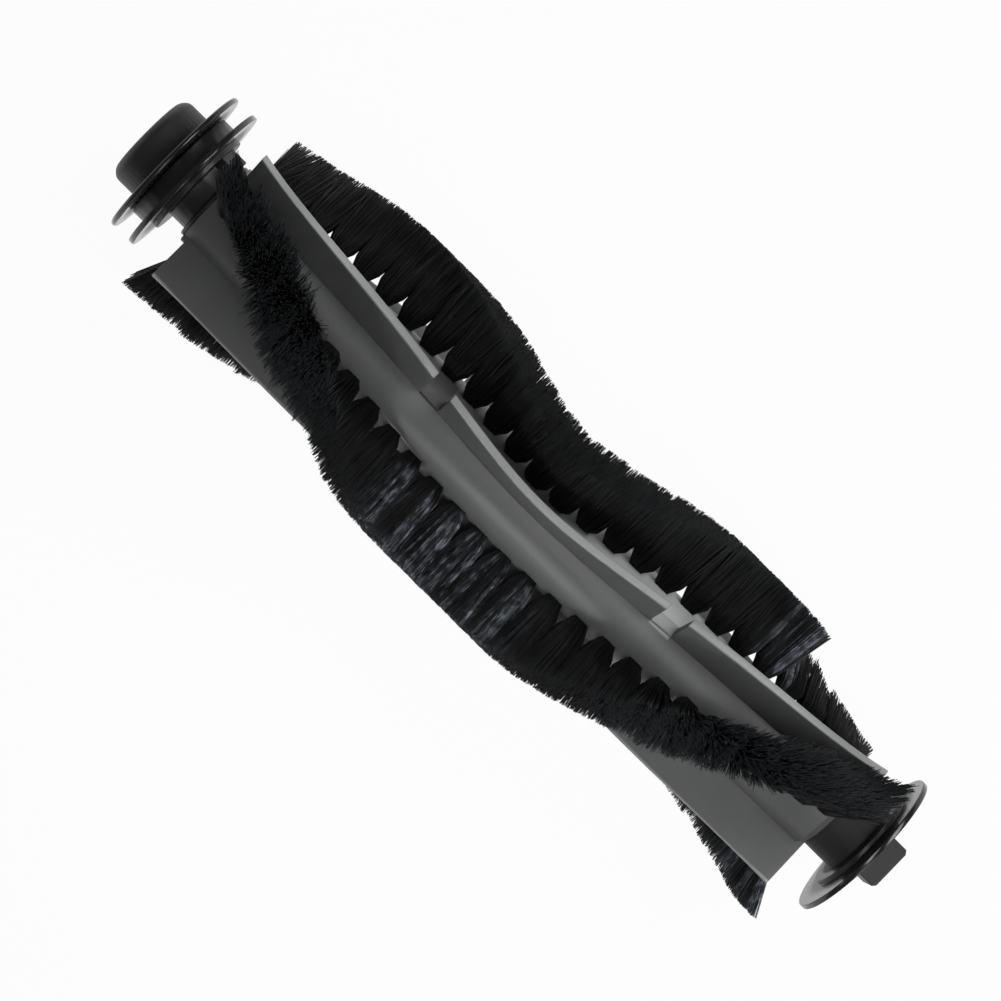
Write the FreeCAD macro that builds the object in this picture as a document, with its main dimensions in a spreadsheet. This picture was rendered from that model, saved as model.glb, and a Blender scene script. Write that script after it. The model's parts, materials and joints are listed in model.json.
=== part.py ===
"""Roller brush of a robot vacuum: a moulded core with three rubber wiper blades and three rows of bristle tufts.

Lengths are in millimetres and angles in degrees. X runs along the axis, from the bearing end to the drive end, Z
points up, and the origin lies on the axis, half way along the brush. Angles round the axis start at +Z and grow
towards +Y.
"""

import FreeCAD, Part
import os
import re

import Sketcher
from FreeCAD import Placement, Rotation, Vector

SIZES = {
    # End cap, which the machine holds still
    "cap_length": 5.8,
    "cap_radius": 8.75,
    "cap_edge_bevel": 1.2,
    "cap_floor": 1.8,
    # Hair discs, and what lies between and beside them
    "disc_radius": 14.7,
    "disc_thickness": 1.0,
    "collar_length": 3.2,
    "collar_radius": 10.75,
    "running_gap": 0.3,
    "ring_radius": 9.9,
    "ring_thickness": 0.9,
    # Shaft: round necks beside the core, and a square bar through it
    "neck_radius": 6.7,
    "bearing_neck_length": 3.3,
    "flange_radius": 7.7,
    "flange_thickness": 0.8,
    "drive_neck_length": 6.3,
    "bar_side": 5.2,
    "bar_clearance": 0.05,
    # Lug on the bearing neck
    "lug_width": 4.6,
    "lug_rise": 1.7,
    "lug_room": 0.2,
    "lug_angle": 58,
    # Axle pin and bush
    "pin_radius": 1.5,
    "pin_seat_depth": 14.0,
    "pin_end_room": 0.4,
    "bush_wall": 1.6,
    "bush_recess": 0.1,
    "running_clearance": 0.05,
    # Square drive peg
    "peg_side": 8.4,
    "peg_length": 5.3,
    "peg_angle": 4,
    "peg_bevel": 0.6,
    # Core
    "core_length": 145.0,
    "core_radius": 8.0,
    "cone_length": 1.2,
    "cone_drop": 1.3,
    # Wiper blades: a shallow V round the core
    "blade_tip_radius": 16.4,
    "blade_tip_width": 1.4,
    "blade_foot_width": 2.4,
    "blade_foot_depth": 2.0,
    "blade_foot_height": 0.6,
    "slot_clearance": 0.05,
    "blade_middle_angle": 8,
    "blade_twist": 35,
    "blade_apex_round": 9,
    "blade_end_room": 0.9,
    "blade_gap": 4.4,
    "first_gap_place": 48.1,
    "second_gap_place": 101.8,
    # Bristle rows: a steeper V between the blades
    "brush_radius": 21.8,
    "tuft_pitch": 5.57,
    "row_middle_angle": 35,
    "row_twist": 95,
    "row_apex_round": 4.5,
    "tuft_root_depth": 2.15,
    "tuft_root_width": 0.7,
    "tuft_clearance": 0.05,
    "tuft_side_gap": 0.1,
    "tuft_flare_height": 2.5,
    "tuft_flare_width": 4.6,
    "tuft_tip_width": 8.4,
    "row_a_lean": 2,
    "row_b_lean": -6,
    "row_c_lean": 0,
    "end_lean": 11,
    "anchor_height": 1.1,
    "anchor_thickness": 0.35,
}

# Places along the axis, each worked out from the lengths before it
BRUSH_LENGTH = (
    "(cap_length + collar_length + 3 * disc_thickness + 2 * ring_thickness"
    " + bearing_neck_length + flange_thickness + core_length + drive_neck_length + peg_length)"
)
CAP_FACE = f"(-{BRUSH_LENGTH} / 2)"
COLLAR_FACE = f"({CAP_FACE} + cap_length + disc_thickness + running_gap)"
DISC_FACE = "(collar_length - running_gap)"
NECK_FACE = f"({DISC_FACE} + disc_thickness + ring_thickness)"
FLANGE_FACE = f"({NECK_FACE} + bearing_neck_length)"
CORE_FACE = f"({FLANGE_FACE} + flange_thickness)"
CORE_START = f"({COLLAR_FACE} + {CORE_FACE})"
CORE_HALF = "(core_length / 2)"
CORE_MIDDLE = f"({CORE_START} + {CORE_HALF})"
BUSH_RADIUS = "(pin_radius + running_clearance + bush_wall)"
GAP_FLOOR = "(core_radius + blade_foot_height)"
SLOT_FLOOR = "(core_radius - blade_foot_depth)"
BORE_SIDE = "(bar_side + 2 * bar_clearance)"
TUFT_ROOT = "(core_radius - tuft_root_depth)"
TUFT_FLARE = "(core_radius + tuft_flare_height)"
TUFT_FLOOR = f"({TUFT_ROOT} - anchor_height)"
TUFT_LENGTH = "(tuft_pitch - tuft_side_gap)"
TUFT_TIP = "sqrt(brush_radius^2 - (tuft_tip_width / 2)^2)"

BLADE_COUNT = 3
THIRD_TURN = 360 / BLADE_COUNT
ROW_NAMES = "abc"
LEGS = {"left": -1, "right": 1}
# Where the blade's section is drawn, as shares of half the core's length
BLADE_STATIONS = (-1, -0.6, -0.2, 0, 0.2, 0.6, 1)
CUT_ROOM = 1  # how far a cutting shape reaches past what it cuts

doc = FreeCAD.newDocument("RollerBrush")
sheet = doc.addObject("Spreadsheet::Sheet", "Sizes")
for line, (alias, number) in enumerate(SIZES.items(), start=1):
    sheet.set(f"A{line}", alias)
    sheet.set(f"B{line}", str(number))
    sheet.setAlias(f"B{line}", alias)
doc.recompute()

nodes = []


def bound(text):
    """The text as an expression: each size's name gets the sheet's name before it."""
    return re.sub(r"[a-z]\w*", lambda word: f"Sizes.{word[0]}" if word[0] in SIZES else word[0], str(text))


def value(text):
    """The number that an expression has now."""
    return float(sheet.evalExpression(bound(text)))


def tie(thing, **places):
    """Binds properties to expressions; a double underscore stands for a dot in the property's path."""
    for path, text in places.items():
        thing.setExpression(path.replace("__", "."), bound(text))


def v_angle(middle, twist, apex_round, place):
    """The angle of a rounded V at a place measured from the core's middle."""
    rise = f"(sqrt(({place})^2 + {apex_round}^2) - {apex_round})"
    whole = f"(sqrt({CORE_HALF}^2 + {apex_round}^2) - {apex_round})"
    return f"({middle} + {twist} * {rise} / {whole})"


def blade_angle(place):
    return v_angle("blade_middle_angle", "blade_twist", "blade_apex_round", place)


def row_angle(place):
    return v_angle("row_middle_angle", "row_twist", "row_apex_round", place)


def new_body(label, start):
    """An empty body, placed along the axis."""
    body = doc.addObject("PartDesign::Body", label)
    body.Label = label
    tie(body, Placement__Base__x=start)
    return body


def origin_part(body, role):
    return next(part for part in body.Origin.OriginFeatures if part.Role == role)


def sketch_on(body, name, plane, *outlines):
    """A sketch of closed outlines of straight lines, with every corner tied to the sheet."""
    sketch = body.newObject("Sketcher::SketchObject", name)
    sketch.AttachmentSupport = [(origin_part(body, plane), "")]
    sketch.MapMode = "FlatFace"
    for corners in outlines:
        spots = [(value(across), value(up)) for across, up in corners]
        first = sketch.GeometryCount
        lines = range(first, first + len(corners))
        for here, there in zip(spots, spots[1:] + spots[:1]):
            sketch.addGeometry(Part.LineSegment(Vector(*here, 0), Vector(*there, 0)), False)
        for line, after in zip(lines, [*lines[1:], first]):
            sketch.addConstraint(Sketcher.Constraint("Coincident", line, 2, after, 1))
        for line, corner, spot in zip(lines, corners, spots):
            for kind, text, number in zip(("DistanceX", "DistanceY"), corner, spot):
                made = sketch.addConstraint(Sketcher.Constraint(kind, -1, 1, line, 1, number))
                sketch.renameConstraint(made, f"{kind}_{line}")
                sketch.setExpression(f"Constraints.{kind}_{line}", bound(text))
    return sketch


def turned(body, name, corners, kind="PartDesign::Revolution"):
    """Turns an outline, given as places along the axis and radii, about the axis."""
    sketch = sketch_on(body, f"{name}_outline", "XY_Plane", *corners)
    feature = body.newObject(kind, name)
    feature.Profile = sketch
    feature.ReferenceAxis = (sketch, ["H_Axis"])
    feature.Angle = 360
    doc.recompute()
    return feature


def section_at(body, name, place, angle, corners):
    """A sketch across the axis, at a place along it and turned about it."""
    sketch = sketch_on(body, name, "YZ_Plane", corners)
    tie(sketch, AttachmentOffset__Base__z=place, AttachmentOffset__Rotation__Angle=f"-({angle})")
    return sketch


def lofted(body, name, kind, corners, phase):
    """Lofts one section along the blade's V."""
    sketches = []
    for number, share in enumerate(BLADE_STATIONS):
        place = f"({share} * {CORE_HALF})"
        angle = f"{blade_angle(place)} + {phase}"
        sketches.append(section_at(body, f"{name}_section_{number}", place, angle, corners))
    loft = body.newObject(kind, name)
    loft.Profile = sketches[0]
    loft.Sections = sketches[1:]
    doc.recompute()
    return loft


def round_pattern(body, feature, name, count):
    """Repeats a feature evenly round the axis."""
    pattern = body.newObject("PartDesign::PolarPattern", name)
    pattern.Originals = [feature]
    pattern.Axis = (origin_part(body, "X_Axis"), [""])
    pattern.Angle = 360
    pattern.Occurrences = count
    body.Tip = pattern
    doc.recompute()
    return pattern


def square(side):
    """Corners of a square about the axis."""
    half = f"({side}) / 2"
    return [(f"-{half}", f"-{half}"), (half, f"-{half}"), (half, half), (f"-{half}", half)]


def padded(body, name, corners, start, angle, length, kind="PartDesign::Pad"):
    """Pushes a section across the axis along it, from its start."""
    feature = body.newObject(kind, name)
    feature.Profile = section_at(body, f"{name}_section", start, angle, corners)
    tie(feature, Length=length)
    doc.recompute()
    return feature


def make_end_cap():
    """The round seat and the outer hair disc in one moulding, bored from the back for the bush."""
    body = new_body("end_cap", CAP_FACE)
    back = "(cap_length + disc_thickness)"
    outline = [
        ("0", "0"),
        ("0", "cap_radius - cap_edge_bevel"),
        ("cap_edge_bevel", "cap_radius"),
        ("cap_length", "cap_radius"),
        ("cap_length", "disc_radius"),
        (back, "disc_radius"),
        (back, BUSH_RADIUS),
        ("cap_floor", BUSH_RADIUS),
        ("cap_floor", "0"),
    ]
    turned(body, "cap", [outline])
    nodes.append(body)


def make_bush():
    """A plain sleeve, pressed into the cap's boss as far as the cap's floor."""
    body = new_body("bush", f"{CAP_FACE} + cap_floor")
    bore = "pin_radius + running_clearance"
    end = "cap_length + disc_thickness - cap_floor - bush_recess"
    outline = [("0", bore), ("0", BUSH_RADIUS), (end, BUSH_RADIUS), (end, bore)]
    turned(body, "sleeve", [outline])
    nodes.append(body)


def make_axle_pin():
    """A plain pin, pressed into the shaft's end."""
    pin = doc.addObject("Part::Cylinder", "axle_pin")
    start = f"({CAP_FACE} + cap_floor + pin_end_room)"
    pin.Placement = Placement(Vector(), Rotation(Vector(0, 1, 0), 90))
    tie(pin, Radius="pin_radius", Height=f"{COLLAR_FACE} + pin_seat_depth - {start}", Placement__Base__x=start)
    nodes.append(pin)


def make_shaft():
    """One moulding: collar, inner disc, neck and flange, a square bar, and the drive neck, disc and peg."""
    body = new_body("drive_shaft", COLLAR_FACE)
    drive_neck = f"({CORE_FACE} + core_length)"
    drive_ring = f"({drive_neck} + drive_neck_length)"
    drive_disc = f"({drive_ring} + ring_thickness)"
    peg_face = f"({drive_disc} + disc_thickness)"
    padded(body, "square_bar", square("bar_side"), "0", "0", peg_face)
    bearing_end = [
        ("0", "0"),
        ("0", "collar_radius"),
        (DISC_FACE, "collar_radius"),
        (DISC_FACE, "disc_radius"),
        (f"{DISC_FACE} + disc_thickness", "disc_radius"),
        (f"{DISC_FACE} + disc_thickness", "ring_radius"),
        (NECK_FACE, "ring_radius"),
        (NECK_FACE, "neck_radius"),
        (FLANGE_FACE, "neck_radius"),
        (FLANGE_FACE, "flange_radius"),
        (CORE_FACE, "flange_radius"),
        (CORE_FACE, "0"),
    ]
    turned(body, "bearing_end", [bearing_end])
    drive_end = [
        (drive_neck, "0"),
        (drive_neck, "neck_radius"),
        (drive_ring, "neck_radius"),
        (drive_ring, "ring_radius"),
        (drive_disc, "ring_radius"),
        (drive_disc, "disc_radius"),
        (peg_face, "disc_radius"),
        (peg_face, "0"),
    ]
    turned(body, "drive_end", [drive_end])
    inside = "neck_radius / 2"
    top = "neck_radius + lug_rise"
    corners = [
        ("-lug_width / 2", inside),
        ("lug_width / 2", inside),
        ("lug_width / 2", top),
        ("-lug_width / 2", top),
    ]
    lug = padded(body, "lug", corners, NECK_FACE, "lug_angle", "bearing_neck_length - lug_room")
    seat = [("0", "0"), ("0", "pin_radius"), ("pin_seat_depth", "pin_radius"), ("pin_seat_depth", "0")]
    bored = turned(body, "pin_seat", [seat], "PartDesign::Groove")
    if not bored.Shape.Volume < lug.Shape.Volume:
        raise ValueError("the pin's seat cuts nothing")
    peg = padded(body, "drive_peg", square("peg_side"), peg_face, "peg_angle", "peg_length")
    end = value(f"{peg_face} + peg_length")
    tip = body.newObject("PartDesign::Chamfer", "peg_end")
    edges = enumerate(peg.Shape.Edges, start=1)
    tip.Base = (peg, [f"Edge{number}" for number, edge in edges if edge.BoundBox.XMin > end - CUT_ROOM])
    tie(tip, Size="peg_bevel")
    doc.recompute()
    nodes.append(body)


def blade_width(radius):
    """The blade's width at a radius: it tapers evenly from its foot to its tip."""
    taper = f"(blade_foot_width - blade_tip_width) / (blade_tip_radius - {SLOT_FLOOR})"
    return f"(blade_foot_width - ({radius} - {SLOT_FLOOR}) * {taper})"


def wedge(floor, top, clearance):
    """Corners of the blade's section from one radius to another, with a clearance on both sides."""
    low = f"({blade_width(floor)} / 2 + {clearance})"
    high = f"({blade_width(top)} / 2 + {clearance})"
    return [(f"-{low}", floor), (low, floor), (high, top), (f"-{high}", top)]


def make_blade(number):
    """A rubber strip with its foot in the core's slot; gaps part it into lips that stop short of one end."""
    label = f"wiper_blade_{number + 1}"
    body = new_body(label, CORE_MIDDLE)
    section = wedge(SLOT_FLOOR, "blade_tip_radius", "0")
    strip = lofted(body, f"{label}_strip", "PartDesign::AdditiveLoft", section, -number * THIRD_TURN)
    cuts = [(f"-{CORE_HALF} - {CUT_ROOM}", f"-{CORE_HALF} + blade_end_room")]
    for place in ("first_gap_place", "second_gap_place"):
        middle = f"({place} - {CORE_HALF})"
        cuts.append((f"{middle} - blade_gap / 2", f"{middle} + blade_gap / 2"))
    top = f"blade_tip_radius + {CUT_ROOM}"
    gaps = [[(start, GAP_FLOOR), (end, GAP_FLOOR), (end, top), (start, top)] for start, end in cuts]
    before = strip.Shape.Volume
    cut = turned(body, f"{label}_gaps", gaps, "PartDesign::Groove")
    if not cut.Shape.Volume < before:
        raise ValueError(f"{label}: the gaps cut nothing")
    nodes.append(body)


def make_core_body():
    """The core's round body with its square bore and the three slots for the blades' feet."""
    body = new_body("core_moulding", CORE_MIDDLE)
    outline = [
        (f"-{CORE_HALF}", "0"),
        (f"-{CORE_HALF}", "core_radius"),
        (f"{CORE_HALF} - cone_length", "core_radius"),
        (CORE_HALF, "core_radius - cone_drop"),
        (CORE_HALF, "0"),
    ]
    bar = turned(body, "core_bar", [outline])
    bore = padded(body, "square_bore", square(BORE_SIDE), CORE_HALF, "0", "core_length", "PartDesign::Pocket")
    if not bore.Shape.Volume < bar.Shape.Volume:
        raise ValueError("the bore cuts nothing")
    section = wedge(f"({SLOT_FLOOR} - slot_clearance)", f"(core_radius + {CUT_ROOM})", "slot_clearance")
    slot = lofted(body, "blade_slot", "PartDesign::SubtractiveLoft", section, 0)
    round_pattern(body, slot, "blade_slots", BLADE_COUNT)
    return body


def four_sided(along, across, height):
    """Corners of a rectangle at a height, sized along the axis and across it."""
    ends = ((1, 1), (-1, 1), (-1, -1), (1, -1))
    return [Vector(one * along / 2, other * across / 2, height) for one, other in ends]


def flat_sided(loops):
    """A solid with flat sides through loops of corners, from the lowest to the highest."""
    rings = [loops[0][::-1], loops[-1]]
    for low, high in zip(loops, loops[1:]):
        for here in range(len(low)):
            after = (here + 1) % len(low)
            rings.append([low[here], low[after], high[after], high[here]])
    faces = [Part.Face(Part.makePolygon([*ring, ring[0]])) for ring in rings]
    return Part.Solid(Part.Shell(faces))


def hole_side(flare):
    """The hole's width along or across the axis: the tuft's at the core's surface, with room on both sides."""
    slope = f"({flare} - tuft_root_width) / (tuft_root_depth + tuft_flare_height)"
    return value(f"tuft_root_width + tuft_root_depth * {slope} + 2 * tuft_clearance")


def tuft_hole():
    """What one tuft's hole takes out of the core, along +Z."""
    sides = (hole_side(TUFT_LENGTH), hole_side("tuft_flare_width"))
    heights = (value(TUFT_FLOOR), value("core_radius") + CUT_ROOM)
    return flat_sided([four_sided(*sides, height) for height in heights])


def tuft(lean):
    """One tuft along +Z: it flares until it meets its neighbours, then fans and leans towards its tips."""
    root = value("tuft_root_width")
    along = value(TUFT_LENGTH)
    tips = four_sided(along, value("tuft_tip_width"), value(TUFT_TIP))
    turn = Rotation(Vector(1, 0, 0), -lean)
    return flat_sided(
        [
            four_sided(root, root, value(TUFT_ROOT)),
            four_sided(along, value("tuft_flare_width"), value(TUFT_FLARE)),
            [turn.multVec(corner) for corner in tips],
        ]
    )


def anchor():
    """One flat wire anchor across the foot of a tuft's hole, along +Z."""
    length = hole_side(TUFT_LENGTH) - 2 * value("tuft_clearance")
    thickness = value("anchor_thickness")
    corner = Vector(-length / 2, -thickness / 2, value(TUFT_FLOOR))
    return Part.makeBox(length, thickness, value("anchor_height"), corner)


def leg_places(side):
    """Where the tufts of one leg stand, measured from the core's middle."""
    count = int(value(f"{CORE_HALF} / tuft_pitch"))
    return [side * (number + 0.5) * value("tuft_pitch") for number in range(count)]


def stood(shape, row, place):
    """A copy of a shape where a row's tuft stands."""
    copy = shape.copy()
    angle = value(row_angle(place)) - row * THIRD_TURN
    copy.Placement = Placement(Vector(place, 0, 0), Rotation(Vector(1, 0, 0), -angle))
    return copy


def group(label, shapes):
    """Separate solids as one object, placed at the core's middle."""
    feature = doc.addObject("Part::Feature", label)
    feature.Label = label
    feature.Shape = Part.makeCompound(shapes)
    feature.Placement = Placement(Vector(value(CORE_MIDDLE), 0, 0), Rotation())
    return feature


def make_rows():
    """The bristle tufts and their anchors, a node for each leg of each row."""
    for row, name in enumerate(ROW_NAMES):
        for leg, side in LEGS.items():
            tufts = []
            anchors = []
            for place in leg_places(side):
                lean = value(f"row_{name}_lean + end_lean * {abs(place)} / {CORE_HALF}")
                tufts.append(stood(tuft(lean), row, place))
                anchors.append(stood(anchor(), row, place))
            nodes.append(group(f"bristle_row_{name}_{leg}", tufts))
            nodes.append(group(f"tuft_anchors_{name}_{leg}", anchors))


def make_core():
    """The core with its tuft holes."""
    hole = tuft_hole()
    holes = []
    for row in range(len(ROW_NAMES)):
        for side in LEGS.values():
            holes += [stood(hole, row, place) for place in leg_places(side)]
    core = doc.addObject("Part::Cut", "roller_core")
    core.Label = "roller_core"
    core.Base = make_core_body()
    core.Tool = group("tuft_holes", holes)
    nodes.append(core)


make_end_cap()
make_bush()
make_axle_pin()
make_shaft()
make_core()
for blade in range(BLADE_COUNT):
    make_blade(blade)
make_rows()
doc.recompute()

for thing in doc.Objects:
    if "Invalid" in thing.State or "Error" in thing.State:
        raise ValueError(f"{thing.Label} failed: {thing.State}")
for node in nodes:
    if node.Shape.isNull() or not node.Shape.isValid():
        raise ValueError(f"{node.Label} has no valid shape")

os.makedirs("parts", exist_ok=True)
for node in nodes:
    node.Shape.exportStep(os.path.join("parts", f"{node.Label}.step"))
    print(f"{node.Label}: {len(node.Shape.Solids)} solids, {node.Shape.Volume:.1f} mm3")
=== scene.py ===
# %% [markdown]
# # A robot vacuum's roller brush
#
# The frame is the packed model of the brush: a grey core with three rubber wiper blades, black end pieces, a cap
# that turns freely, and three rows of bristle tufts, which the frame holds as plain wedges. This lesson gives every
# piece its finish and grows real bristles in place of the wedges. Places are in metres, in the frame's own axes: X
# runs along the brush to its drive peg and Z points up.

# %% Load the frame
import json
import math

import bmesh
import bpy
import numpy as np
from mathutils import Matrix, Vector


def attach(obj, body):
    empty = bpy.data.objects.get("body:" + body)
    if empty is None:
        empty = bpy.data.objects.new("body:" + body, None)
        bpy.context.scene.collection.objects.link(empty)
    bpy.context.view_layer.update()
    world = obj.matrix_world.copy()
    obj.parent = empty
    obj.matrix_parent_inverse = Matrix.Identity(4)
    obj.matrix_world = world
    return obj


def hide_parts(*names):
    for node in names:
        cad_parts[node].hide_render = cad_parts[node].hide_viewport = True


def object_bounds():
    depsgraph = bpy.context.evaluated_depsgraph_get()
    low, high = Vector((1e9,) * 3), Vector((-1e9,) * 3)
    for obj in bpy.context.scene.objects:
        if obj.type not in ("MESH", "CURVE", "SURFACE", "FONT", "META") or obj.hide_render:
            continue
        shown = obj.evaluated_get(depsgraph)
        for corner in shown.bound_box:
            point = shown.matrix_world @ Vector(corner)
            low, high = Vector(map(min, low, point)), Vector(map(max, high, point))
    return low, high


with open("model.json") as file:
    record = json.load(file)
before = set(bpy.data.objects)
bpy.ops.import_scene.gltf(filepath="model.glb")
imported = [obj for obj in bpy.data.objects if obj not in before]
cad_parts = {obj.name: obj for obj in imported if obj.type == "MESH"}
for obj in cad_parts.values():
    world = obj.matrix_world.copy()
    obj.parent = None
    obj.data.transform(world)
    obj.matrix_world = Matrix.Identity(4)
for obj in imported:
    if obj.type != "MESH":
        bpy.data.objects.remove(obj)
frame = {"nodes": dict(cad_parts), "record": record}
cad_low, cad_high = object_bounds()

MM = 0.001
nodes = frame["nodes"]
print("frame:", len(nodes), "nodes,", [round(side / MM, 1) for side in cad_high - cad_low], "mm")

# %% [markdown]
# ## Shader sums as Python expressions
#
# A finish is a sheet of small nodes. Each Math node could be placed and linked by hand, but that hides what is being
# worked out, so one class wraps a node's output and lets `1 - mask` or `a * b` add the Math nodes.

# %% Values
class Value:
    """A number that a node gives out, on which sums are written as in Python."""

    def __init__(self, sheet, socket):
        self.sheet = sheet
        self.socket = socket

    def sum(self, operation, *terms):
        return self.sheet.node("ShaderNodeMath", {"operation": operation}, dict(enumerate(terms)))

    def __add__(self, other):
        return self.sum("ADD", self, other)

    def __sub__(self, other):
        return self.sum("SUBTRACT", self, other)

    def __rsub__(self, other):
        return self.sum("SUBTRACT", other, self)

    def __mul__(self, other):
        return self.sum("MULTIPLY", self, other)

    def __pow__(self, power):
        return self.sum("POWER", self, power)

    __radd__ = __add__
    __rmul__ = __mul__


print("values can be added, subtracted, multiplied and raised to a power")

# %% [markdown]
# ## A sheet of nodes
#
# Every other node comes from one method, which sets the node's own settings first and then fills its sockets. The
# methods after it are the few tools that this brush's finishes share: places in the frame, noise, soft steps and
# mixed colours. Image textures could give the same detail, but noise in the frame's own places needs no unwrapping
# and has its true size on every piece.

# %% The sheet
class Sheet:
    """A material's nodes."""

    def __init__(self, name):
        self.material = bpy.data.materials.new(name)
        self.material.use_nodes = True
        self.tree = self.material.node_tree
        self.tree.nodes.clear()

    def node(self, kind, settings=None, sockets=None, out=0):
        """Adds a node and returns one of its outputs."""
        made = self.tree.nodes.new(kind)
        for name, setting in (settings or {}).items():
            setattr(made, name, setting)
        for name, filling in (sockets or {}).items():
            if isinstance(filling, Value):
                self.tree.links.new(filling.socket, made.inputs[name])
            else:
                made.inputs[name].default_value = filling
        return Value(self, made.outputs[out]) if made.outputs else None

    def place(self, axis):
        """One coordinate of the spot that is shaded, in the frame's own axes."""
        spot = self.node("ShaderNodeTexCoord", out="Object")
        return self.node("ShaderNodeSeparateXYZ", {}, {"Vector": spot}, out=axis)

    def radius(self):
        """How far the spot that is shaded lies from the axis."""
        across = self.place("Y")
        up = self.place("Z")
        return (across * across + up * up) ** 0.5

    def carried(self, name):
        """A number that the mesh carries at its corners."""
        return self.node("ShaderNodeAttribute", {"attribute_name": name}, out="Fac")

    def noise(self, size, detail=2, stretch=None):
        """Cloudy noise whose lumps are about as large as the size, on the frame's own places."""
        spot = self.node("ShaderNodeTexCoord", out="Object")
        if stretch:
            spot = self.node("ShaderNodeMapping", {}, {"Vector": spot, "Scale": stretch})
        return self.node("ShaderNodeTexNoise", {}, {"Vector": spot, "Scale": 1 / size, "Detail": detail})

    def ramp(self, value, low, high):
        """Nought where the value is below low, one where it is above high, and eased between them."""
        span = {"Value": value, "From Min": low, "From Max": high}
        return self.node("ShaderNodeMapRange", {"interpolation_type": "SMOOTHSTEP"}, span)

    def step(self, value, places):
        """A ramp between two places in mm."""
        low, high = places
        return self.ramp(value, low * MM, high * MM)

    def between(self, value, rise, fall):
        """One between two soft steps, nought outside them; each step is two places in mm."""
        return self.step(value, rise) * (1 - self.step(value, fall))

    def mix(self, share, first, last):
        """A colour between two."""
        return self.node("ShaderNodeMix", {"data_type": "RGBA"}, {"Factor": share, 6: first, 7: last}, out=2)

    def bump(self, height, depth, strength):
        """A normal that follows small heights."""
        return self.node("ShaderNodeBump", {}, {"Height": height, "Distance": depth, "Strength": strength})

    def finish(self, **sockets):
        """The shader itself; an underscore in a socket's name stands for a space."""
        named = {name.replace("_", " "): filling for name, filling in sockets.items()}
        shader = self.node("ShaderNodeBsdfPrincipled", {}, named)
        self.node("ShaderNodeOutputMaterial", {}, {"Surface": shader})
        return self.material


def grey(level, tint=(1, 1, 1)):
    """A grey of that lightness with a slight tint."""
    return (level * tint[0], level * tint[1], level * tint[2], 1)


print("a sheet offers:", [name for name in vars(Sheet) if not name.startswith("_")])

# %% [markdown]
# ## The gaps in the blades
#
# Every blade has two short gaps, in which the core and the blade's foot show. Under the studio light of the photograph
# the first gap of the top blade lies in shade and the second catches light. Small lamps could make the difference, but
# they would light the bristles too, so a mask by place finds each gap and the finishes paint shade on the first gap's
# floor and a pool of light on the second's.

# %% Find the gaps
COOL = (0.985, 1.005, 1.01)  # the faint tint of all the mouldings
FIRST_GAP, SECOND_GAP = -23.15, 30.55  # middles along the brush, in mm
GAP_HALF = 2.2
GAP_EASE = 0.15
# painted shade for the first gap's floor and painted light for the second gap's floor
GAP_PAINTED_SHADE = grey(0.05, COOL)
GAP_PAINTED_LIGHT = grey(0.48, COOL)


def in_gap(sheet, middle):
    """One where a spot lies in the blades' gap at that place along the brush, in mm, and nought elsewhere."""
    start, end = middle - GAP_HALF, middle + GAP_HALF
    return sheet.between(sheet.place("X"), (start - GAP_EASE, start + GAP_EASE), (end - GAP_EASE, end + GAP_EASE))


print("gaps:", [(round(gap - GAP_HALF, 2), round(gap + GAP_HALF, 2)) for gap in (FIRST_GAP, SECOND_GAP)], "mm")

# %% [markdown]
# ## The core's grey plastic
#
# The core is moulded in a mid grey with a satin skin. One flat grey would look like a drawing of it, so wide faint
# clouds and a fine grain vary the colour and the gloss, and the grain lifts the surface a little. Behind the middle
# of the top blade a strip of the core is painted pale, a painted pool of light where light falls on it. It lies at one
# place on the core, so it is a mask by place too.

# %% Grey plastic
GAP_FLOOR_ACROSS, GAP_FLOOR_UP = (1, 1.5), (0, 1)  # soft steps in mm, here and below
# where the core behind the top blade gets a painted pool of light
LIT_STRIP_ACROSS, LIT_STRIP_UP = (2, 2.8), (1, 3)
LIT_STRIP_ENDS = (2, 16), (36, 44)


def grey_plastic():
    sheet = Sheet("grey_plastic")
    along, across, up = (sheet.place(axis) for axis in "XYZ")
    clouds = sheet.noise(9 * MM, detail=3)
    grain = sheet.noise(0.35 * MM)
    colour = sheet.mix(clouds * 0.7 + grain * 0.3, grey(0.105, COOL), grey(0.15, COOL))
    gap_floor = sheet.step(across, GAP_FLOOR_ACROSS) * sheet.step(up, GAP_FLOOR_UP)
    # painted shade on the first gap's floor and painted light on the second's
    colour = sheet.mix(in_gap(sheet, FIRST_GAP) * gap_floor * 0.9, colour, GAP_PAINTED_SHADE)
    colour = sheet.mix(in_gap(sheet, SECOND_GAP) * gap_floor * 0.85, colour, GAP_PAINTED_LIGHT)
    # a painted pool of light on the core behind the middle of the top blade
    painted_light_strip = sheet.step(across, LIT_STRIP_ACROSS) * sheet.step(up, LIT_STRIP_UP) * sheet.between(along, *LIT_STRIP_ENDS)
    return sheet.finish(
        Base_Color=sheet.mix(painted_light_strip * 0.95, colour, grey(0.5, COOL)),
        Roughness=0.38 + clouds * 0.12,
        Normal=sheet.bump(grain, 0.03 * MM, 0.35),
    )


finishes = {"grey_plastic": grey_plastic()}
print("finish:", *finishes)

# %% [markdown]
# ## The blades' grey rubber
#
# The blades are a softer rubber of nearly the same grey. Their lips rub along floors and turn pale, and a painted
# highlight lightens them further, most of all near the ends of the brush. The lip could be a piece of its own, but
# neither wear nor highlight has a seam, so a soft step in the distance from the axis finds it and a profile along the
# brush says how much wear and painted highlight it has.

# %% Grey rubber
LIP = (15.7, 16.3)
FOOT = (8.7, 9.2)
# the lip's pale share: wear and painted highlight all along, and more painted highlight towards each end
LIP_WEAR_AND_HIGHLIGHT, LIP_HIGHLIGHT_LEFT, LIP_HIGHLIGHT_RIGHT = 0.32, 0.36, 0.24  # all along, and on top of that at each end
LIP_HIGHLIGHT_FALLS, LIP_HIGHLIGHT_RISES = (-60, -27), (35, 68)


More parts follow.
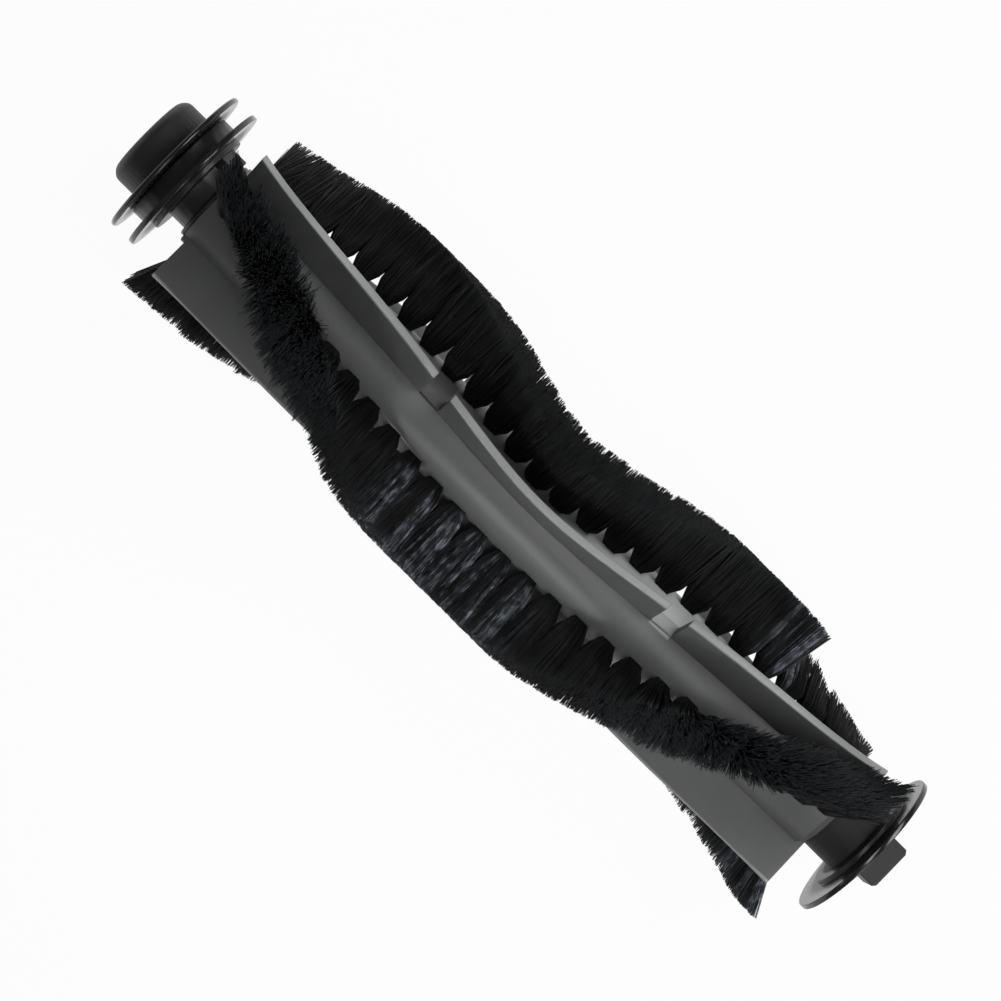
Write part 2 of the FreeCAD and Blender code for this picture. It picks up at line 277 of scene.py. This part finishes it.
def grey_rubber():
    sheet = Sheet("grey_rubber")
    along, radius = sheet.place("X"), sheet.radius()
    clouds = sheet.noise(7 * MM, detail=3)
    grain = sheet.noise(0.3 * MM)
    rubber = sheet.mix(clouds * 0.7 + grain * 0.3, grey(0.10, COOL), grey(0.145, COOL))
    lip = sheet.step(radius, LIP)
    # wear and a painted highlight on the lip, the highlight strongest towards the ends
    wear_and_painted_highlight = LIP_WEAR_AND_HIGHLIGHT + LIP_HIGHLIGHT_LEFT * (1 - sheet.step(along, LIP_HIGHLIGHT_FALLS)) + LIP_HIGHLIGHT_RIGHT * sheet.step(along, LIP_HIGHLIGHT_RISES)
    colour = sheet.mix(lip * (0.8 + grain * 0.4) * wear_and_painted_highlight, rubber, grey(0.65, COOL))
    foot = 1 - sheet.step(radius, FOOT)
    # painted shade and painted light on the blade's foot in the two gaps
    colour = sheet.mix(in_gap(sheet, FIRST_GAP) * foot * 0.9, colour, GAP_PAINTED_SHADE)
    return sheet.finish(
        Base_Color=sheet.mix(in_gap(sheet, SECOND_GAP) * foot * 0.5, colour, GAP_PAINTED_LIGHT),
        Roughness=0.5 + clouds * 0.1 - lip * 0.12,
        Normal=sheet.bump(grain, 0.03 * MM, 0.3),
    )


finishes["grey_rubber"] = grey_rubber()
print("finishes:", *finishes)

# %% [markdown]
# ## The black end pieces
#
# The end pieces are black and smoother than the core. The rims of the hair discs are glossy and mirror the pale floor
# as thin bright lines, the drive neck is duller, and the cap's seat and the drive peg are matt. Several finishes could
# be laid on separate faces, but the gloss of a moulding changes softly, so one finish has masks by place.

# %% Black plastic
SEAT_END = (-81.7, -81.4)
PEG_START = (81.9, 82.1)
RIM = (10.5, 13.5)
NECK_START, NECK_SKIN = (72, 73), (7.5, 8.5)


def black_plastic():
    sheet = Sheet("black_plastic")
    along, radius = sheet.place("X"), sheet.radius()
    seat = 1 - sheet.step(along, SEAT_END)
    peg = sheet.step(along, PEG_START)
    matt = seat + peg
    rim = sheet.step(radius, RIM)
    neck = sheet.step(along, NECK_START) * (1 - sheet.step(radius, NECK_SKIN)) * (1 - peg)
    clouds = sheet.noise(5 * MM, detail=3)
    grain = sheet.noise(0.25 * MM)
    gloss_black = sheet.mix(clouds, grey(0.006, COOL), grey(0.012, COOL))
    matt_black = sheet.mix(clouds, grey(0.016, COOL), grey(0.022, COOL))
    return sheet.finish(
        Base_Color=sheet.mix(matt, gloss_black, matt_black),
        Roughness=0.34 - rim * 0.2 + clouds * 0.06 + matt * 0.12 + grain * matt * 0.06 + neck * 0.25,
        Normal=sheet.bump(grain, 0.02 * MM, 0.02 + matt * 0.2),
    )


finishes["black_plastic"] = black_plastic()
print("finishes:", *finishes)

# %% [markdown]
# ## The hidden metals
#
# The axle pin, the bush that runs on it and the wires that anchor the tufts are hidden in the finished brush. Plain
# colours would do for that, but a piece may be shown by itself, so each gets a metal with fine lines along the brush,
# as a ground or drawn surface has.

# %% Steel, bronze and brass
def metal(name, colour, roughness):
    sheet = Sheet(name)
    lines = sheet.noise(0.12 * MM, stretch=(0.05, 1, 1))
    return sheet.finish(
        Base_Color=sheet.mix(lines, grey(0.8, colour), grey(1.0, colour)),
        Roughness=roughness + lines * 0.12,
        Metallic=1.0,
        Normal=sheet.bump(lines, 0.01 * MM, 0.2),
    )


finishes["pin_steel"] = metal("pin_steel", (0.56, 0.57, 0.58), 0.25)
finishes["bush_bronze"] = metal("bush_bronze", (0.62, 0.42, 0.2), 0.35)
finishes["anchor_wire"] = metal("anchor_wire", (0.75, 0.58, 0.28), 0.3)
print("finishes:", *finishes)

# %% [markdown]
# ## Finishes on the frame's pieces
#
# The record names a slot for each node of the frame, so the finishes are handed out by slot and no list of pieces is
# needed. The tufts' slot is left out, because filaments will stand for those solids.

# %% Hand the finishes out
slots = {row["node"]: row["material_slot"] for row in frame["record"]["subparts"]}
finished = [name for name in nodes if slots[name] in finishes]
for name in finished:
    nodes[name].data.materials[0] = finishes[slots[name]]
print("finished:", finished)

# %% [markdown]
# ## Soft edges
#
# A moulding leaves no knife edges, and the frame's solids have sharp ones. A shader could only pretend to round them,
# so a modifier does it: it takes what is sharper than a facet of a round face, which is nearly the whole rim of a hair
# disc and a little of the rubber's lips. Welding and flattening first give it clean faces to work on.

# %% Round the edges
SOFT_EDGES = {  # mm taken off right-angled edges, and off bevels
    "end_cap": (0.42, 0.8),
    "drive_shaft": (0.42, 0.25),
    "wiper_blade_1": (0.2, 0.1),
    "wiper_blade_2": (0.2, 0.1),
    "wiper_blade_3": (0.2, 0.1),
}
SHARPNESS = (math.radians(60), math.radians(36))
SAME_PLACE = 0.001 * MM
FLAT = math.radians(1)

for name, widths in SOFT_EDGES.items():
    weld = nodes[name].modifiers.new("weld", "WELD")
    weld.merge_threshold = SAME_PLACE
    flatten = nodes[name].modifiers.new("flatten", "DECIMATE")
    flatten.decimate_type = "DISSOLVE"
    flatten.angle_limit = FLAT
    for width, sharpness in zip(widths, SHARPNESS):
        soften = nodes[name].modifiers.new("soften", "BEVEL")
        soften.width = width * MM
        soften.segments = 3
        soften.limit_method = "ANGLE"
        soften.angle_limit = sharpness
        soften.harden_normals = True
print("rounded:", SOFT_EDGES)

# %% [markdown]
# ## Bristles
#
# A tuft is a bundle of nylon filaments, pinched at its foot by a wire anchor. It fans out until it meets its
# neighbours, and its tips are trimmed to one round surface. Hair particles would follow a surface, but a tuft has
# none, so each filament is a thin three-sided rod that runs through the wedge which the frame holds for the tuft:
# that keeps the place, the lean and the reach that the solid has.

# %% Split the rows into wedges
def tuft_wedges(node):
    """The corners of each separate wedge of a node."""
    welded = bmesh.new()
    welded.from_mesh(node.data)
    bmesh.ops.remove_doubles(welded, verts=welded.verts, dist=SAME_PLACE)
    left = set(welded.verts)
    wedges = []
    while left:
        wedge, to_visit = set(), [left.pop()]
        while to_visit:
            corner = to_visit.pop()
            wedge.add(corner)
            reached = {edge.other_vert(corner) for edge in corner.link_edges} & left
            left -= reached
            to_visit += reached
        wedges.append(np.array([corner.co for corner in wedge]))
    welded.free()
    return sorted(wedges, key=lambda corners: corners[:, 0].mean())


wedges_of = {name: tuft_wedges(node) for name, node in nodes.items() if "bristle" in name}
print("wedges:", {name: len(wedges) for name, wedges in wedges_of.items()})

# %% [markdown]
# ## What a wedge says of its tuft
#
# A wedge has twelve corners: four at the foot in its hole, four where the tuft flares and four at the tips. The same
# numbers could be typed in again, but read from the corners they follow the frame whenever it changes.

# %% Measure the tufts
def outward(corners):
    """The way from the axis to the middle of some corners."""
    middle = corners.mean(axis=0) * (0, 1, 1)
    return middle / np.linalg.norm(middle)


def round_from(out):
    """The way round the axis, at right angles to an outward way."""
    return np.array([0, out[2], -out[1]])


class Tuft:
    """Where a tuft stands, how wide it is at its foot, its flare and its tips, and how far its tips lean."""

    def __init__(self, corners):
        radius = np.hypot(corners[:, 1], corners[:, 2])
        foot, flare, tips = corners[np.argsort(radius)].reshape(3, 4, 3)
        self.x = corners[:, 0].mean()
        self.out = outward(flare)
        self.round = round_from(self.out)
        tip_out = outward(tips)
        self.lean = math.atan2(tip_out @ self.round, tip_out @ self.out)
        self.foot = (foot @ self.out).mean()
        self.flare = (flare @ self.out).mean()
        across = (self.round, self.round, round_from(tip_out))
        self.half = [self.half_sizes(*level) for level in zip((foot, flare, tips), across)]
        self.reach = radius.max()

    def half_sizes(self, corners, way):
        """Half the width along the axis and half the width round it."""
        return np.array([np.abs(corners[:, 0] - self.x).mean(), np.abs(corners @ way).mean()])


legs = {name: [Tuft(wedge) for wedge in wedges] for name, wedges in wedges_of.items()}
print("tip radius:", {name: round(tufts[0].reach / MM, 2) for name, tufts in legs.items()}, "mm")

# %% [markdown]
# ## How the rows have set
#
# The frame's tufts lean evenly along each leg. A brush that has lain in its box has set less evenly: the end tufts
# splay out over the necks, some legs lean more towards their ends, and the right leg of row A has a parting. Combing
# hair by hand could show that, but short tables of places and amounts can be read, and changed, without a brush tool.

# %% How the rows have set
# Degrees that a leg's tips lean more than their solids, at places along the brush in mm
EXTRA_LEAN = {
    "a_left": ((-70, -6), (-65, -3), (-60, 1), (-55, 2), (-50, 2), (-30, -2), (-15, -3), (-10, -5), (-4, 0)),
    "a_right": ((4, 3), (10, 0), (15, -1.5), (30, -1), (52, 2), (54, 20), (60, 21.5), (65, 17.5), (71, 11.5)),
    "b_left": ((-69, 0), (-60, 2), (-45, 4), (-34, 5), (-27, 0), (-21, -4), (-12, -3)),
    "b_right": ((12, 0), (22, 4), (29, 7), (55, 8), (62, 10)),
    "c_left": ((-68, -14), (-57, -4), (-45, 0)),
    "c_right": ((40, 0), (54, -7.5), (60, -12), (63.5, -13.5), (66.5, -8), (69.5, 0), (71, 1)),
}
# Millimetres that tips lean along the brush, and how many times wider they fan out than their solids
SPLAY = {
    "a_left": ((-69, 2.5), (-55, 0)),
    "a_right": ((45, 0), (50, 1.9), (52, 1.9), (53, -2.5), (56, -2.5), (60, 0)),
    "b_left": ((-69, -1.5), (-55, 0)),
    "b_right": ((55, 0), (70, 3.5)),
    "c_left": ((-69, -1.5), (-58, 0)),
    "c_right": ((58, 0), (70, 2)),
}
FAN = {
    "b_left": ((-69, 0.65), (-62, 1.1), (-54, 1.6), (-45, 1.6), (-33, 1)),
    "b_right": ((33, 0.9), (45, 1.25), (58, 1.25), (70, 1.05)),
    "c_left": ((-56, 0.86), (-45, 0.99)),
    "c_right": ((42, 0.99), (52, 0.86)),
}
EVEN_FAN = ((0, 0.89),)


def along_leg(points, x):
    """What a leg's points give at a place along the brush."""
    places, numbers = zip(*points)
    return float(np.interp(x / MM, places, numbers))


for name, tufts in legs.items():
    leg = name.replace("bristle_row_", "")
    angles = np.unwrap([math.atan2(tuft.out[1], tuft.out[2]) for tuft in tufts])
    twists = np.gradient(angles, [tuft.x for tuft in tufts])
    for tuft, twist in zip(tufts, twists):
        tuft.twist = twist
        tuft.lean += math.radians(along_leg(EXTRA_LEAN[leg], tuft.x))
        tuft.splay = along_leg(SPLAY[leg], tuft.x) * MM
        tuft.fan = along_leg(FAN.get(leg, EVEN_FAN), tuft.x)
        tuft.end = 0
    slopes = np.diff([tuft.lean for tuft in tufts]) / np.diff([tuft.x for tuft in tufts])
    for tuft, before, after in zip(tufts, [slopes[0], *slopes], [*slopes, slopes[-1]]):
        tuft.twist += min(before, after, key=abs)
    outer = tufts[0] if leg.endswith("left") else tufts[-1]
    outer.end = math.copysign(1, outer.x)
print("leans:", {name: [round(math.degrees(tuft.lean)) for tuft in tufts] for name, tufts in legs.items()})

# %% [markdown]
# ## A tuft's filaments
#
# Filaments leave their hole as a round bundle, square up where they meet the next tuft, and gather in small clumps at
# the tips, which a knife has trimmed a little unevenly. Physics could press them into place, but three points do for
# a filament this short: in the hole, at the flare and at the tip. Only the tips lean, so the rods bend at the flare.

# %% Grow a tuft
FILAMENTS = 900
SET_SHARES = (0, 0, 1)  # how much of the lean the hole, the flare and the tips have
LEVELS = len(SET_SHARES)
HOLE_DEPTH = 1.2 * MM
HOLE_FILL = 0.8
FLARE_HEIGHT = 2.5 * MM
FLARE_WIDTH = 0.96
FLARE_ROUNDNESS = 0.3
TIP_WIDTH = 1.35
END_RISE = 0.35  # the outer half of an end tuft rises steeply
CLUMPS = 140
GATHERED = (0.1, 0.6)  # how far filaments go towards the middle of their clump, at least and at most
STRAY, FAN_STRAY = 0.05, 0.1
PRESSED = 0.92
UNEVEN_TRIM = 0.006
SWAY = math.radians(0.4)
# how much of the painted highlight filaments take at places across their tuft
HIGHLIGHT_WEIGHT_ALONG = (-0.6, 0.6), (0.3, 1)  # places along a tuft, and the lustre there


def grow(tuft, draw):
    """Middle lines of a tuft's filaments, an array of filament, level and place, and each filament's highlight weight.
    """
    square = draw.uniform(-1, 1, (FILAMENTS, 2))
    disc = square * (np.abs(square).max(axis=1) / np.linalg.norm(square, axis=1))[:, None]
    clump = draw.uniform(-1, 1, (CLUMPS, 2))
    nearest = np.argmin(((square[:, None] - clump[None]) ** 2).sum(axis=2), axis=1)
    gathered = square + (clump[nearest] - square) * draw.uniform(*GATHERED, FILAMENTS)[:, None]
    stray = draw.normal(0, STRAY + FAN_STRAY * max(0, tuft.fan - 1), (FILAMENTS, 2))
    pressed = gathered + stray
    if tuft.fan < 1:
        pressed[:, 1] = np.clip(pressed[:, 1], -PRESSED, PRESSED)
    surface = tuft.flare - FLARE_HEIGHT
    slope = (surface - tuft.foot) / (tuft.flare - tuft.foot)
    hole = tuft.half[0] + (tuft.half[1] - tuft.half[0]) * slope
    squared = FLARE_ROUNDNESS * disc + (1 - FLARE_ROUNDNESS) * square
    flat = [
        disc * hole * HOLE_FILL,
        squared * tuft.half[1] * (FLARE_WIDTH, 1),
        pressed * tuft.half[2] * (TIP_WIDTH, tuft.fan),
    ]
    flat[1][square[:, 0] * tuft.end > 0, 0] *= END_RISE
    uneven = np.abs(draw.normal(0, UNEVEN_TRIM, FILAMENTS))
    trim = 1 - uneven - np.abs(draw.normal(0, UNEVEN_TRIM, CLUMPS))[nearest]
    heights = [
        np.full(FILAMENTS, surface - HOLE_DEPTH),
        np.full(FILAMENTS, tuft.flare),
        np.sqrt(np.maximum(tuft.reach**2 - flat[2][:, 1] ** 2, 0)) * trim,
    ]
    sway = draw.normal(0, SWAY)
    lines = np.empty((FILAMENTS, LEVELS, 3))
    for level, set_share in enumerate(SET_SHARES):
        lean = (tuft.lean + sway + tuft.twist * flat[level][:, 0]) * set_share
        round_way = flat[level][:, 1] * np.cos(lean) + heights[level] * np.sin(lean)
        out_way = heights[level] * np.cos(lean) - flat[level][:, 1] * np.sin(lean)
        lines[:, level] = out_way[:, None] * tuft.out + round_way[:, None] * tuft.round
        lines[:, level, 0] += tuft.x + flat[level][:, 0] + tuft.splay * set_share
    # each filament's weight for the painted highlights in the nylon's colour, shared by its clump
    lustre = draw.uniform(0, 1, CLUMPS)[nearest] * np.interp(square[:, 0], *HIGHLIGHT_WEIGHT_ALONG)
    return lines, lustre


print("filaments:", FILAMENTS, "to a tuft, in", CLUMPS, "clumps")

# %% [markdown]
# ## Rods
#
# A filament is a thin nylon rod. Curves with a bevel could draw it, but tens of thousands of curves are slow, and the
# export wants meshes. So three corners are laid round each point of each line, for all rods at once, and a triangle
# closes the tip; the other end is hidden in the hole. Each rod also has a cell of its own on the map for baking.

# %% Lay rods round the lines
FILAMENT_RADIUS = 0.085 * MM
TAPER = np.array([1, 1, 0.75])
CELL_FILL = 0.9


def rods(lines, draw):
    """Three-sided rods round middle lines: corner places, and blocks of faces with one face for each rod."""
    count = len(lines)
    along = lines[:, -1] - lines[:, 0]
    along /= np.linalg.norm(along, axis=1)[:, None]
    side = np.cross(along, draw.normal(0, 1, (count, 3)))
    side /= np.linalg.norm(side, axis=1)[:, None]
    other = np.cross(along, side)
    corners = np.empty((count, LEVELS, 3, 3))
    for corner in range(3):
        angle = 2 * np.pi * corner / 3
        offset = np.cos(angle) * side + np.sin(angle) * other
        corners[:, :, corner] = lines + offset[:, None] * (FILAMENT_RADIUS * TAPER)[None, :, None]
    start = np.arange(count)[:, None] * LEVELS * 3
    blocks = []
    for level in range(LEVELS - 1):
        for corner in range(3):
            after = (corner + 1) % 3
            low, high = level * 3, level * 3 + 3
            blocks.append(start + [low + corner, low + after, high + after, high + corner])
    blocks.append(start + (LEVELS - 1) * 3 + [0, 1, 2])
    return corners.reshape(-1, 3), blocks


def bake_places(count):
    """Places on the bake map, in the order of the blocks: each rod has a cell of its own."""
    rows = math.ceil(math.sqrt(count))
    cell = np.stack([np.arange(count) % rows, np.arange(count) // rows], axis=1)[:, None]
    flats = []
    for level in range(LEVELS - 1):
        for corner in range(3):
            left, right = corner / 3, (corner + 1) / 3
            low, high = level / LEVELS, (level + 1) / LEVELS
            flats.append([(left, low), (right, low), (right, high), (left, high)])
    flats.append([(0, 0), (1 / 3, 0), (0, 1 / 3)])
    return np.concatenate([((cell + np.array(flat) * CELL_FILL) / rows).ravel() for flat in flats])


def bristle_piece(name, tufts, draw):
    """One leg of a row as a mesh of rods."""
    lines, lustre = (np.concatenate(part) for part in zip(*[grow(tuft, draw) for tuft in tufts]))
    corners, blocks = rods(lines, draw)
    mesh = bpy.data.meshes.new(name)
    mesh.from_pydata(corners.tolist(), [], [face for block in blocks for face in block.tolist()])
    mesh.shade_smooth()
    mesh.uv_layers.new(name="OFBake").data.foreach_set("uv", bake_places(len(lines)).astype(np.float32))
    for kind, numbers in (("tone", draw.uniform(0, 1, len(lines))), ("lustre", lustre)):
        values = np.repeat(numbers, LEVELS * 3).astype(np.float32)
        mesh.attributes.new(kind, "FLOAT", "POINT").data.foreach_set("value", values)
    piece = bpy.data.objects.new(name, mesh)
    bpy.context.scene.collection.objects.link(piece)
    return piece


print("rods:", 2 * FILAMENT_RADIUS / MM, "mm thick")

# %% [markdown]
# ## Black nylon
#
# The filaments are black nylon, too dark to show much but their gloss. Where a row lies combed flat, whole clumps of
# them catch the light as pale streaks: along the middle of row B, at row A's parting and at row C's low end. A lamp
# aimed there would light all filaments alike, so masks by place, noise and each clump's own highlight weight paint
# these streaks into the colour as painted highlights.
# The tips near the ends of the rows are a little paler.

# %% Black bristles
# Soft steps in mm: where each patch starts and ends along the brush, and its edge across it
ROW_B, ROW_B_TOP = ((-22, -15), (9, 16)), (-10, -7)
PARTING, PARTING_FOOT = ((43, 49), (53.5, 54)), (8, 11)
BEHIND_START, BEHIND_FOOT = (53.5, 54), (6, 9)
LOW_END, LOW_END_TOP = (64, 69), (-17, -13)
ROW_ENDS, ROW_ENDS_TOP = (25, 40), (7, 10)
TIPS = (18.5, 21)  # from the axis
# clumps of less highlight weight than the first get no painted highlight
HIGHLIGHT_CLUMPS = (0.1, 0.6)  # clumps of less lustre than the first stay black


def black_bristle():
    sheet = Sheet("black_bristle")
    tone, lustre = sheet.carried("tone"), sheet.carried("lustre")
    along, across = sheet.place("X"), sheet.place("Y")
    row_b = sheet.between(along, *ROW_B) * (1 - sheet.step(across, ROW_B_TOP))
    parting = sheet.between(along, *PARTING) * sheet.step(across, PARTING_FOOT)
    behind = sheet.step(along, BEHIND_START) * sheet.step(across, BEHIND_FOOT)
    low_end = sheet.step(along, LOW_END) * (1 - sheet.step(across, LOW_END_TOP))
    far_out = sheet.ramp(along * along, *((place * MM) ** 2 for place in ROW_ENDS))
    ends = far_out * (1 - sheet.step(across, ROW_ENDS_TOP))
    tips = sheet.step(sheet.radius(), TIPS) * (0.2 + ends * 0.7)
    patches = sheet.ramp(sheet.noise(2 * MM, detail=3, stretch=(1, 0.5, 0.7)), 0.3, 0.5)
    dashes = sheet.ramp(sheet.noise(0.8 * MM, detail=3, stretch=(1, 0.45, 0.7)), 0.44, 0.6)
    # painted highlights: pale streaks in the colour where clumps catch the light
    highlight_streaks = row_b * (0.2 + dashes) * patches + (parting + low_end) * (0.35 + dashes)
    painted_highlight = highlight_streaks * sheet.ramp(lustre, *HIGHLIGHT_CLUMPS) * (0.4 + tone * 0.6)
    black = sheet.mix(tone, grey(0.003), grey(0.008, (0.9, 1.0, 1.15)))
    black = sheet.mix(tips * (0.5 + tone * 0.5), black, grey(0.045, (0.9, 1.0, 1.1)))
    return sheet.finish(
        Base_Color=sheet.mix(painted_highlight, black, grey(0.32, (0.85, 0.95, 1.1))),
        Roughness=0.4 + tone * 0.15 + behind * 0.35,
        Specular_IOR_Level=0.25,
    )


nylon = black_bristle()
print("finish:", nylon.name)

# %% [markdown]
# ## Plant the rows
#
# On the real brush a machine staples the tufts in one by one. Here each leg of a row becomes one piece, which rides on
# the roller and stands for the leg's solids. One piece to a tuft would work too, but a leg is what the frame names.
# Each leg has its own seed, so the bristles grow the same way every time.

# %% Plant them
for seed, (name, tufts) in enumerate(legs.items()):
    piece = bristle_piece(name.replace("bristle_row", "bristles"), tufts, np.random.default_rng(seed))
    piece.data.materials.append(nylon)
    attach(piece, "roller")
    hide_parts(name)
    print(piece.name, len(piece.data.polygons), "faces")

# %% [markdown]
# ## Floor
#
# The brush lies on a pale floor. A white floor lit until it is white would throw too much light on the brush, so the
# floor glows white only to the camera and to mirrors, and stays a matt grey to all other light. A small share of the
# matt is left in what the camera sees, which keeps the brush's shadow.

# %% The floor
FLOOR_SIDE = 60.0
FLOOR_GREY = 0.82
WHITE_SHARE = 0.96


def pale_floor():
    sheet = Sheet("pale_floor")
    rays = ("Is Camera Ray", "Is Glossy Ray", "Is Transmission Ray")
    camera, glossy, transmission = (sheet.node("ShaderNodeLightPath", out=ray) for ray in rays)
    seen = camera + glossy + transmission
    matt = sheet.node("ShaderNodeBsdfDiffuse", {}, {"Color": grey(FLOOR_GREY)})
    white = sheet.node("ShaderNodeEmission", {}, {"Color": grey(1.0), "Strength": 1.0})
    shader = sheet.node("ShaderNodeMixShader", {}, {0: seen * WHITE_SHARE, 1: matt, 2: white})
    sheet.node("ShaderNodeOutputMaterial", {}, {"Surface": shader})
    return sheet.material


half = FLOOR_SIDE / 2
floor_mesh = bpy.data.meshes.new("floor")
floor_corners = [(x, y, cad_low.z) for x, y in ((-half, -half), (half, -half), (half, half), (-half, half))]
floor_mesh.from_pydata(floor_corners, [], [(0, 1, 2, 3)])
floor = bpy.data.objects.new("floor", floor_mesh)
floor_mesh.materials.append(pale_floor())
bpy.context.scene.collection.objects.link(floor)
print("floor:", round(cad_low.z / MM, 1), "mm up")

# %% [markdown]
# ## Light
#
# The photograph has soft light from several sides, brighter on the drive end's half. One big lamp could light the
# brush, but evenly. So the key lamp is a softbox behind row A, three small ones lift the core's middle and right half,
# and grids keep their light narrow. A weak white world fills the rest.

# %% The lamps
LAMPS = {  # place, spot it faces, side in metres, power in watts, and the grid's spread in degrees
    "key_lamp": ((0.25, 0.55, 0.60), (0.03, 0, 0), 0.4, 0.3, 50),
    "fill_lamp": ((0.28, -0.08, 0.26), (0.045, 0, 0), 0.2, 0.045, 60),
    "top_lamp": ((0.08, -0.04, 0.35), (0.04, 0, 0), 0.12, 0.02, 45),
    "middle_lamp": ((0.02, -0.32, 0.17), (0.01, 0, 0), 0.05, 0.005, 22),
}
WORLD_LIGHT = 0.18


def softbox(name, place, aim, side, power, spread):
    """A square lamp that faces a spot, with a grid that keeps its light narrow."""
    lamp = bpy.data.lights.new(name, "AREA")
    lamp.size = side
    lamp.energy = power
    lamp.spread = math.radians(spread)
    piece = bpy.data.objects.new(name, lamp)
    piece.location = place
    piece.rotation_euler = (Vector(place) - Vector(aim)).to_track_quat("Z", "Y").to_euler()
    bpy.context.scene.collection.objects.link(piece)


for name, lamp in LAMPS.items():
    softbox(name, *lamp)
world = bpy.data.worlds.new("studio")
bpy.context.scene.world = world
world.use_nodes = True
world.node_tree.nodes["Background"].inputs["Color"].default_value = grey(1.0)
world.node_tree.nodes["Background"].inputs["Strength"].default_value = WORLD_LIGHT
print("lamps:", *LAMPS)

# %% [markdown]
# ## Camera
#
# The camera looks down on the brush, from nearer its bearing end, and is turned so that the brush runs from corner to
# corner. A tracking constraint could aim it, but it wouldn't set that turn, so the camera's three axes are worked out
# from its place, its aim and the slant of the brush in the picture.

# %% The camera
CAMERA_PLACE = Vector((-35.0, 0.0, 630.0)) * MM
CAMERA_AIM = Vector((-2.80, -1.84, 0.0)) * MM
CAMERA_LENS = 135.6
AXIS_SLANT = math.radians(44.80)
camera = bpy.data.objects.new("camera", bpy.data.cameras.new("camera"))
bpy.context.scene.collection.objects.link(camera)
camera.data.lens = CAMERA_LENS
back = (CAMERA_PLACE - CAMERA_AIM).normalized()
picture_up = Vector((-math.sin(AXIS_SLANT), math.cos(AXIS_SLANT), 0))
right = picture_up.cross(back).normalized()
upright = Matrix((right, back.cross(right), back)).transposed()
camera.matrix_world = Matrix.Translation(CAMERA_PLACE) @ upright.to_4x4()
bpy.context.scene.camera = camera
bpy.context.scene.view_settings.view_transform = "Standard"
print("camera:", [round(side / MM) for side in CAMERA_PLACE], "mm, lens", CAMERA_LENS)

# %% [markdown]
# ## Size
#
# The real brush has to fit its bay, so the bristles may not outgrow the frame.
